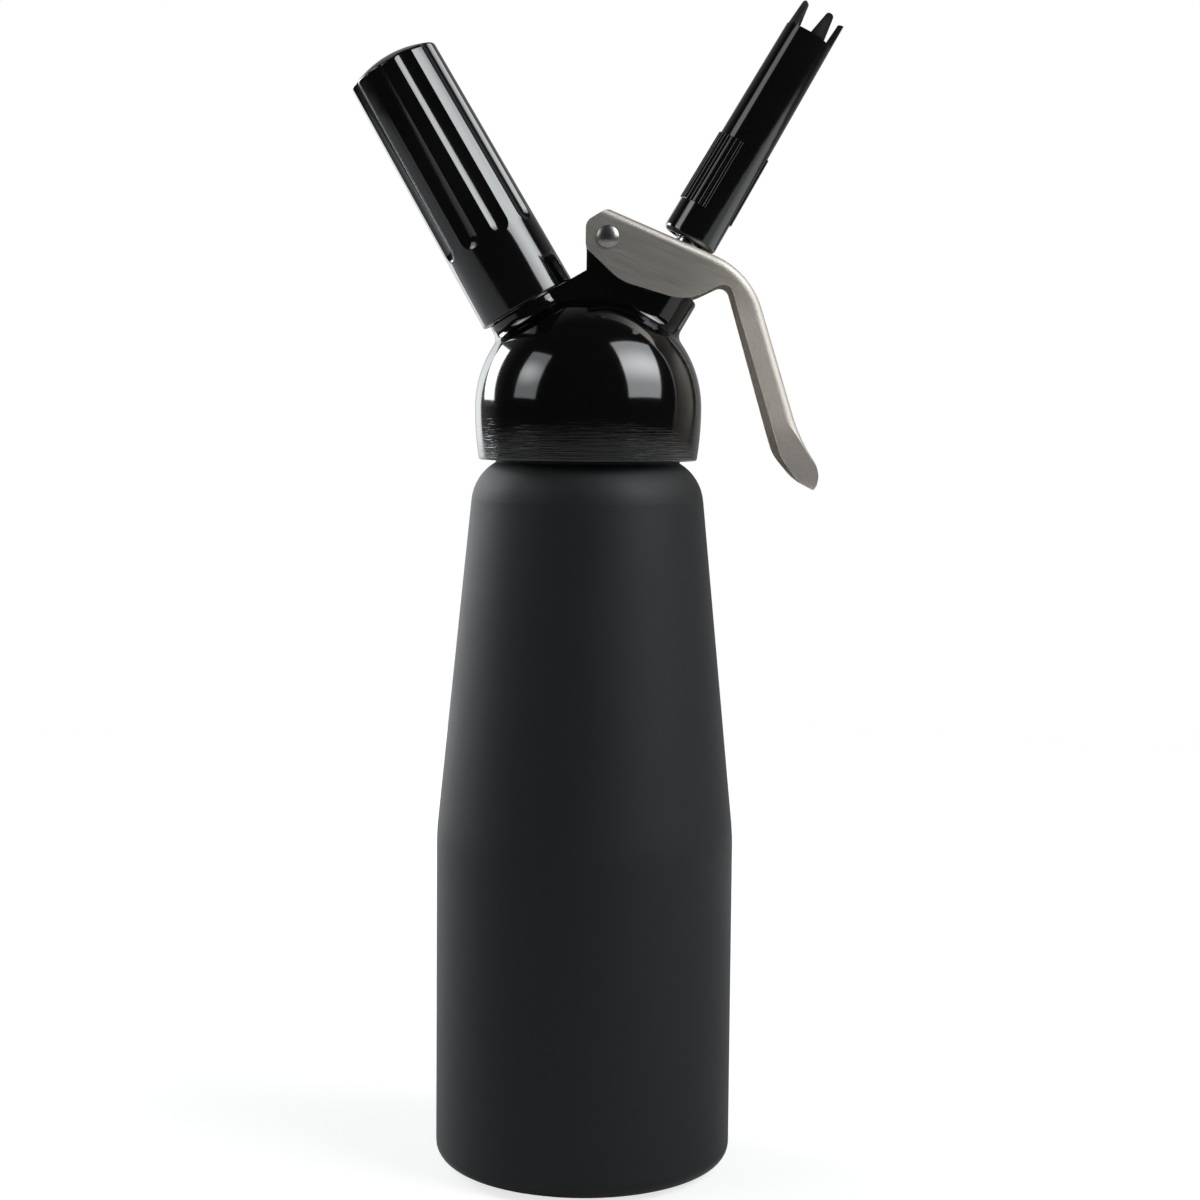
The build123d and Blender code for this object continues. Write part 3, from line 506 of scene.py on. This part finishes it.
@dataclass(frozen=True)
class BrushedSteel(Finish):
    """Steel sheet brushed along the lever: along the web first, and along the handle past the bend."""

    web_slope: float = radians(22.9)
    handle_slope: float = radians(73.4)
    bend_way: Point = (0.8, 0.0, -0.6)
    bend_from: float = -0.118
    bend_full: float = -0.104
    satin_from: float = -0.128
    web_roughness: float = 0.44
    handle_roughness: float = 0.62
    hair_size: Point = (0.01, 0.00012, 0.00012)
    hair_depth: float = 0.00001
    hair_roughness: float = 0.06
    hair_share: float = 0.7
    dark_shade: float = 0.84

    def make(self, effects: Effects) -> bpy.types.Material:
        """Build the material: two sets of streaks and two roughnesses, changed over across the bend.

        Args:
            effects: Shared node groups.

        Returns:
            The material.
        """
        material, weaver, shader, place = self.open()
        side = weaver.along(place, self.bend_way, (0.0, 0.0, 0.0))
        past = weaver.remap(side, self.bend_from, self.bend_full, 0.0, 1.0)
        before = weaver.maths("SUBTRACT", 1.0, past)
        groups = []
        for slope in (self.web_slope, self.handle_slope):
            turned = weaver.add(
                "ShaderNodeMapping",
                {"vector_type": "TEXTURE"},
                Vector=place,
                Rotation=(0.0, slope, 0.0),
                Scale=self.hair_size,
            )
            groups.append(weaver.group(effects.streaks(), Vector=turned.outputs[0]))
        hair, band = (
            weaver.maths(
                "MULTIPLY_ADD",
                groups[1].outputs[layer],
                past,
                weaver.maths("MULTIPLY", groups[0].outputs[layer], before),
            )
            for layer in ("Fine", "Broad")
        )
        tint = weaver.maths(
            "MULTIPLY_ADD", band, 1.0 - self.hair_share, weaver.maths("MULTIPLY", hair, self.hair_share)
        )
        weaver.put(shader.inputs["Base Color"], weaver.mix(tint, self.shade(self.dark_shade), self.colour))
        shader.inputs["Metallic"].default_value = 1.0
        satin = weaver.remap(side, self.satin_from, self.bend_full, self.web_roughness, self.handle_roughness)
        weaver.put(shader.inputs["Roughness"], weaver.maths("MULTIPLY_ADD", hair, self.hair_roughness, satin))
        weaver.put(shader.inputs["Normal"], weaver.bump(hair, self.hair_depth))
        return material


@dataclass(frozen=True)
class TurnedMetal(Finish):
    """Bare turned metal with fine rings along one axis."""

    way: Point = (0.0, 0.0, 1.0)
    roughness: float = 0.2
    ring_depth: float = 0.000002
    ring_size: Point = (0.02, 0.02, 0.00025)
    ring_roughness: float = 0.08
    dark_shade: float = 0.8

    def make(self, effects: Effects) -> bpy.types.Material:
        """Build the material: noise that changes quickly along the axis and slowly round it.

        Args:
            effects: Shared node groups.

        Returns:
            The material.
        """
        material, weaver, shader, place = self.open()
        turn = Vector((0.0, 0.0, 1.0)).rotation_difference(Vector(self.way)).to_euler()
        mapped = weaver.add(
            "ShaderNodeMapping",
            {"vector_type": "TEXTURE"},
            Vector=place,
            Rotation=tuple(turn),
            Scale=self.ring_size,
        )
        rings = weaver.group(effects.streaks(), Vector=mapped.outputs[0])
        fine, broad = rings.outputs["Fine"], rings.outputs["Broad"]
        weaver.put(shader.inputs["Base Color"], weaver.mix(broad, self.shade(self.dark_shade), self.colour))
        shader.inputs["Metallic"].default_value = 1.0
        rough = weaver.maths("MULTIPLY_ADD", fine, self.ring_roughness, self.roughness)
        weaver.put(shader.inputs["Roughness"], rough)
        weaver.put(shader.inputs["Normal"], weaver.bump(fine, self.ring_depth))
        return material


@dataclass(frozen=True)
class Elastomer(Finish):
    """Rubber or soft plastic with a dull, slightly mottled surface."""

    roughness: float = 0.62
    mottle_roughness: float = 0.1
    mottle_shade: float = 0.8
    grain_scale: float = 4000.0
    grain_depth: float = 0.00001

    def make(self, effects: Effects) -> bpy.types.Material:
        """Build the material: mottling in the colour and a fine grain in the bump.

        Args:
            effects: Shared node groups.

        Returns:
            The material.
        """
        material, weaver, shader, place = self.open()
        skin = weaver.group(effects.skin(), Vector=place, Grain=self.grain_scale)
        mottle = skin.outputs["Handling"]
        mottled = weaver.mix(mottle, self.colour, self.shade(self.mottle_shade))
        weaver.put(shader.inputs["Base Color"], mottled)
        dull = self.roughness + self.mottle_roughness
        weaver.put(shader.inputs["Roughness"], weaver.remap(mottle, 0.0, 1.0, self.roughness, dull))
        weaver.put(shader.inputs["Normal"], weaver.bump(skin.outputs["Grain"], self.grain_depth))
        return material


@dataclass
class Assembly:
    """Base of the sub-assemblies: nodes of the CAD model and the finish of each."""

    effects: Effects
    nodes: dict[str, bpy.types.Object]

    def finishes(self) -> dict[str, tuple[Finish, Slot]]:
        """Give the finish and the record slot by node name."""
        raise NotImplementedError

    def dress(self, made: dict[str, bpy.types.Material]) -> None:
        """Give every node of the sub-assembly its finish.

        Args:
            made: Materials already built, by name.
        """
        for name, (finish, slot) in self.finishes().items():
            if finish.name not in made:
                made[finish.name] = finish.make(self.effects)
            node = self.nodes[name]
            node.data.materials.clear()
            node.data.materials.append(made[finish.name])
            LOG.info("%s: %s", name, finish.name)


RUBBER_BLACK = Elastomer("black_rubber", (0.02, 0.02, 0.02))
RUBBER_RED = Elastomer("red_silicone", (0.42, 0.06, 0.04), roughness=0.5)


@dataclass
class Bottle(Assembly):
    """Bottle with its coat, and the gasket on its lip."""

    def finishes(self) -> dict[str, tuple[Finish, Slot]]:
        """Choose the finishes.

        Returns:
            The finish and the record slot by node name.
        """
        return {
            "bottle": (MattCoat("matt_black_coat", (0.0042, 0.0060, 0.0074)), Slot.BOTTLE),
            "head_gasket": (RUBBER_RED, Slot.GASKET),
        }


@dataclass
class Head(Assembly):
    """Domed head with its lacquer."""

    def finishes(self) -> dict[str, tuple[Finish, Slot]]:
        """Give the finish and the record slot by node name."""
        return {"head": (GlossCoat("gloss_black_coat", (0.0022, 0.0022, 0.0025)), Slot.HEAD)}


@dataclass
class ChargerBranch(Assembly):
    """Charger holder, charger, stud and what sits in the stud."""

    def finishes(self) -> dict[str, tuple[Finish, Slot]]:
        """Choose the finishes.

        Returns:
            The finish and the record slot by node name.
        """
        moulding = GlossMoulding("holder_gloss_black", (0.003, 0.003, 0.0034), CHARGER_WAY)
        bulb = TurnedMetal("charger_steel", (0.56, 0.56, 0.55), CHARGER_WAY, roughness=0.26)
        stud = TurnedMetal("stud_steel", (0.42, 0.42, 0.41), CHARGER_WAY, roughness=0.3)
        fitting = TurnedMetal("charger_fitting_steel", (0.58, 0.58, 0.57), CHARGER_WAY)
        return {
            "charger_holder": (moulding, Slot.HOLDER),
            "charger": (bulb, Slot.CHARGER),
            "charger_stud": (stud, Slot.STUD),
            "piercing_pin": (fitting, Slot.FITTINGS),
            "stud_seal": (RUBBER_BLACK, Slot.SEAL),
            "charger_seal": (RUBBER_BLACK, Slot.SEAL),
            "check_valve": (RUBBER_BLACK, Slot.SEAL),
        }


@dataclass
class Lever(Assembly):
    """Brushed lever with its polished pin and cap."""

    def finishes(self) -> dict[str, tuple[Finish, Slot]]:
        """Choose the finishes.

        Returns:
            The finish and the record slot by node name.
        """
        polished = TurnedMetal(
            "pin_polished_steel", (0.68, 0.67, 0.65), (0.0, 1.0, 0.0), roughness=0.24, ring_depth=0.000001
        )
        return {
            "lever": (BrushedSteel("lever_brushed_steel", (0.90, 0.84, 0.765)), Slot.LEVER),
            "lever_pin": (polished, Slot.PIN),
            "pin_cap": (polished, Slot.PIN),
        }


@dataclass
class Valve(Assembly):
    """Valve stem with its spring, seals, bush and nut.

    The spring is drawn anew over the CAD coil.
    """

    spring_foot: float = 0.03346
    spring_length: float = 0.01323
    coil_radius: float = 0.005
    wire_radius: float = 0.00055
    turns: int = 5
    steps_per_turn: int = 48
    wire_sides: int = 16
    stem_travel: float = 0.00376

    def spring(self) -> bpy.types.Object:
        """Make the spring: a round wire carried along a helix round the valve's axis.

        The wire's middle goes evenly round the axis while it climbs, and the wire is a circle
        square to the way that the middle takes.

        Returns:
            The spring's object.
        """
        turn = np.linspace(0.0, 2 * np.pi * self.turns, self.steps_per_turn * self.turns + 1)[:, None]
        section = np.linspace(0.0, 2 * np.pi, self.wire_sides + 1)[:-1, None, None]
        rise = (self.spring_length - 2 * self.wire_radius) / (2 * np.pi * self.turns)
        up = np.array(VALVE_WAY)
        side = np.array((up[2], 0.0, -up[0]))
        across = np.cross(up, side)
        outward = np.cos(turn) * side + np.sin(turn) * across
        heading = self.coil_radius * (np.cos(turn) * across - np.sin(turn) * side) + rise * up
        square = np.cross(outward, heading / np.linalg.norm(heading, axis=1, keepdims=True))
        climb = (self.spring_foot + self.wire_radius + rise * turn) * up
        middle = np.array(HUB) + climb + self.coil_radius * outward
        wire = self.wire_radius * (np.cos(section) * outward + np.sin(section) * square)
        return ringed("valve_spring_coil", middle + wire, closed=True)

    def dress(self, made: dict[str, bpy.types.Material]) -> None:
        """Dress the nodes, and stand the spring in for the rigid coil.

        Args:
            made: Materials already built, by name.
        """
        super().dress(made)
        spring = self.spring()
        spring.data.materials.append(self.nodes["valve_spring"].data.materials[0])
        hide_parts("valve_spring")
        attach(spring, "head")
        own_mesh(spring)
        LOG.info("%s: stands for valve_spring", spring.name)

    def finishes(self) -> dict[str, tuple[Finish, Slot]]:
        """Choose the finishes.

        Returns:
            The finish and the record slot by node name.
        """
        bright = TurnedMetal("stem_bright_steel", (0.66, 0.65, 0.63), VALVE_WAY, roughness=0.14)
        fitting = TurnedMetal("valve_fitting_steel", (0.58, 0.58, 0.57), VALVE_WAY)
        bush = Elastomer("bush_white_plastic", (0.7, 0.7, 0.68), roughness=0.45)
        return {
            "valve_stem": (bright, Slot.STEM),
            "valve_spring": (fitting, Slot.FITTINGS),
            "valve_nut": (fitting, Slot.FITTINGS),
            "seal_washer": (fitting, Slot.FITTINGS),
            "valve_bush": (bush, Slot.BUSH),
            "valve_seal": (RUBBER_RED, Slot.GASKET),
            "bush_seal": (RUBBER_BLACK, Slot.SEAL),
            "stem_seal": (RUBBER_BLACK, Slot.SEAL),
        }


@dataclass
class Nozzle(Assembly):
    """Decorating nozzle and its seal."""

    rim: float = 0.1145
    teeth: float = 0.1158

    def finishes(self) -> dict[str, tuple[Finish, Slot]]:
        """Choose the finishes.

        Returns:
            The finish and the record slot by node name.
        """
        moulding = GlossMoulding(
            "nozzle_gloss_black",
            (0.0035, 0.0035, 0.0038),
            VALVE_WAY,
            satin=0.3,
            satin_from=self.rim,
            satin_full=self.teeth,
        )
        return {"nozzle": (moulding, Slot.NOZZLE), "nozzle_seal": (RUBBER_BLACK, Slot.SEAL)}


@dataclass(frozen=True)
class Softbox:
    """Area lamp given by its middle and the directions of its two sides, with a brighter band on it."""

    name: str
    place: Point
    across: Point
    up: Point
    size: Span
    radiance: float
    core: float = 0.0
    core_at: Span = (0.5, 0.5)
    core_size: Span = (0.5, 0.2)
    colour: Colour = (0.95, 0.98, 1.0)

    def glow(self, light: bpy.types.Light) -> None:
        """Shade the lamp's face: a soft bell of extra light round core_at.

        The strength is 1 plus core times a smooth fall from the bell's middle to its rim.

        Args:
            light: The lamp's data.
        """
        light.use_nodes = True
        weaver = Weaver(light.node_tree)
        spot = weaver.add("ShaderNodeMapping", {"vector_type": "TEXTURE"})
        weaver.put(spot.inputs["Vector"], weaver.add("ShaderNodeNewGeometry").outputs["Parametric"])
        weaver.put(spot.inputs["Location"], (*self.core_at, 0.0))
        weaver.put(spot.inputs["Scale"], (*self.core_size, 1.0))
        reach = weaver.add("ShaderNodeVectorMath", {"operation": "LENGTH"})
        weaver.put(reach.inputs[0], spot.outputs[0])
        strength = weaver.remap(reach.outputs["Value"], 0.0, 1.0, 1.0 + self.core, 1.0)
        weaver.put(light.node_tree.nodes["Emission"].inputs["Strength"], strength)

    def build(self) -> bpy.types.Object:
        """Make the lamp; its power is pi times its area times its radiance.

        Returns:
            The lamp's object.
        """
        light = bpy.data.lights.new(self.name, "AREA")
        light.shape = "RECTANGLE"
        light.size, light.size_y = self.size
        light.energy = np.pi * light.size * light.size_y * self.radiance
        light.color = self.colour
        if self.core:
            self.glow(light)
        lamp = bpy.data.objects.new(self.name, light)
        across = Vector(self.across).normalized()
        away = across.cross(Vector(self.up)).normalized()
        sides = Matrix((across, away.cross(across), away)).transposed()
        lamp.matrix_world = Matrix.Translation(self.place) @ sides.to_4x4()
        lamp.visible_camera = False
        bpy.context.scene.collection.objects.link(lamp)
        return lamp


@dataclass
class Studio:
    """White table, white surround and four softboxes.

    A pair named for a range gives where a change starts and ends. Along glow_way it counts metres
    on the table, and in the surround the share of the direction that points to the back.
    """

    table_radius: float = 0.85
    table_middle: float = 0.001
    table_edge: float = 0.006
    table_rings: int = 12
    table_sides: int = 96
    edge_rings: int = 8
    table_albedo: float = 0.5
    table_roughness: float = 0.9
    table_specular: float = 0.1
    table_glow: float = 0.74
    glow_way: Point = (0.5, 0.86, 0.0)
    glow_range: Span = (0.15, 0.4)
    mirrored_glow: float = 0.7
    room_range: Span = (0.1, 0.8)
    room_light: Span = (0.02, 0.18)
    wall_range: Span = (0.55, 0.97)
    wall_light: float = 0.30
    softboxes: tuple[Softbox, ...] = (
        Softbox(
            "softbox_right",
            place=(1.003, -0.384, 0.932),
            across=(0.76, 0.65, 0.0),
            up=(-0.386, 0.453, 0.804),
            size=(0.97, 1.22),
            radiance=2.4,
            core=1.4,
            core_at=(0.5, 0.56),
            core_size=(1.4, 0.36),
        ),
        Softbox(
            "softbox_left",
            place=(-1.041, -0.428, 0.851),
            across=(0.596, -0.802, -0.05),
            up=(0.181, 0.074, 0.981),
            size=(0.58, 0.97),
            radiance=1.2,
            core=2.0,
            core_at=(0.4, 0.5),
            core_size=(0.9, 0.34),
        ),
        Softbox(
            "softbox_back",
            place=(-1.02, 0.72, 0.545),
            across=(0.008, -1.0, 0.0),
            up=(0.644, 0.005, 0.765),
            size=(0.58, 0.64),
            radiance=8.6,
        ),
        Softbox(
            "backdrop_left",
            place=(-0.465, 1.21, 0.3),
            across=(-0.933, -0.359, 0.0),
            up=(0.0, 0.0, 1.0),
            size=(0.98, 0.8),
            radiance=0.16,
            core=16.0,
            core_at=(1.0, 0.5),
            core_size=(0.9, 4.0),
        ),
    )

    def table(self) -> bpy.types.Object:
        """Make the table: a round profile turned about Z, with its top at Z = 0.

        The profile runs from a small round face in the middle of the top to the rim, and down a
        quarter circle.

        Returns:
            The table's object.
        """
        bend = np.linspace(0.0, np.pi / 2, self.edge_rings + 1)[1:]
        flat = np.linspace(self.table_middle, self.table_radius - self.table_edge, self.table_rings)
        reach = np.concatenate([flat, flat[-1] + self.table_edge * np.sin(bend)])
        level = np.concatenate([np.zeros(self.table_rings), self.table_edge * (np.cos(bend) - 1.0)])
        turn = np.linspace(0.0, 2 * np.pi, self.table_sides + 1)[:-1]
        rounds = [np.outer(np.cos(turn), reach), np.outer(np.sin(turn), reach)]
        grid = np.stack([*rounds, np.tile(level, (self.table_sides, 1))], axis=-1)
        table = ringed("table", grid, closed=False)
        table.data.materials.append(self.table_finish())
        return table

    def table_finish(self) -> bpy.types.Material:
        """Build the white matt top: it takes shadow, and a glow lifts it to white where it is seen.

        Returns:
            The material.
        """
        material = bpy.data.materials.new("white_table")
        material.use_nodes = True
        weaver = Weaver(material.node_tree)
        shader = material.node_tree.nodes["Principled BSDF"]
        shader.inputs["Base Color"].default_value = (*(self.table_albedo,) * 3, 1.0)
        shader.inputs["Roughness"].default_value = self.table_roughness
        shader.inputs["Specular IOR Level"].default_value = self.table_specular
        shader.inputs["Emission Color"].default_value = (1.0, 1.0, 1.0, 1.0)
        path = weaver.add("ShaderNodeLightPath")
        seen = weaver.maths("MAXIMUM", path.outputs["Is Camera Ray"], path.outputs["Is Transmission Ray"])
        place = weaver.add("ShaderNodeTexCoord").outputs["Object"]
        way = weaver.along(place, self.glow_way, (0.0, 0.0, 0.0))
        behind = weaver.remap(way, *self.glow_range, 0.0, self.mirrored_glow)
        mirrored = weaver.maths("MULTIPLY", path.outputs["Is Glossy Ray"], behind)
        shown = weaver.maths("MAXIMUM", seen, mirrored)
        weaver.put(shader.inputs["Emission Strength"], weaver.maths("MULTIPLY", shown, self.table_glow))
        return material

    def surround(self) -> None:
        """Light the world: white to the camera, and in the object's gloss pale behind and dark in front."""
        world = bpy.data.worlds.new("studio")
        bpy.context.scene.world = world
        world.use_nodes = True
        weaver = Weaver(world.node_tree)
        ground = world.node_tree.nodes["Background"]
        way = weaver.add("ShaderNodeTexCoord").outputs["Generated"]
        back = weaver.add("ShaderNodeSeparateXYZ", Vector=way).outputs["Y"]
        room = weaver.remap(back, *self.room_range, *self.room_light)
        wall = weaver.remap(back, *self.wall_range, 0.0, self.wall_light)
        path = weaver.add("ShaderNodeLightPath")
        seen = weaver.maths("MAXIMUM", path.outputs["Is Camera Ray"], path.outputs["Is Transmission Ray"])
        mirrored = weaver.maths("MULTIPLY", path.outputs["Is Glossy Ray"], wall)
        shown = weaver.maths("MAXIMUM", seen, mirrored)
        weaver.put(ground.inputs["Strength"], weaver.maths("MAXIMUM", shown, room))
        ground.inputs["Color"].default_value = (1.0, 1.0, 1.0, 1.0)

    def build(self) -> None:
        """Make the table, the surround and the lamps."""
        self.table()
        self.surround()
        for box in self.softboxes:
            box.build()


@dataclass(frozen=True)
class Viewpoint:
    """Camera of the photograph: a little above the head's rim, tipped down."""

    place: Point = (0.00363, -0.604, 0.2055)
    pitch: float = radians(4.83)
    roll: float = radians(0.5)
    focal_pixels: float = 2238.0
    picture_pixels: float = 1200.0
    sensor_width: float = 36.0
    clip_start: float = 0.01

    def build(self) -> bpy.types.Object:
        """Make the camera and choose it for the scene.

        Returns:
            The camera's object.
        """
        lens = bpy.data.cameras.new("camera")
        lens.sensor_width = self.sensor_width
        lens.lens = self.sensor_width * self.focal_pixels / self.picture_pixels
        lens.clip_start = self.clip_start
        camera = bpy.data.objects.new("camera", lens)
        tilt = Matrix.Rotation(np.pi / 2 - self.pitch, 4, "X") @ Matrix.Rotation(self.roll, 4, "Z")
        camera.matrix_world = Matrix.Translation(self.place) @ tilt
        bpy.context.scene.collection.objects.link(camera)
        bpy.context.scene.camera = camera
        return camera


def main() -> None:
    """Load the model, dress it and set up the studio."""
    logging.basicConfig(level=logging.INFO, format="%(message)s")
    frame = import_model()
    bpy.context.scene.view_settings.view_transform = "Standard"
    effects = Effects()
    made: dict[str, bpy.types.Material] = {}
    for kind in (Bottle, Head, ChargerBranch, Lever, Valve, Nozzle):
        kind(effects, frame["nodes"]).dress(made)
    Studio().build()
    Viewpoint().build()


if __name__ == "__main__":
    main()
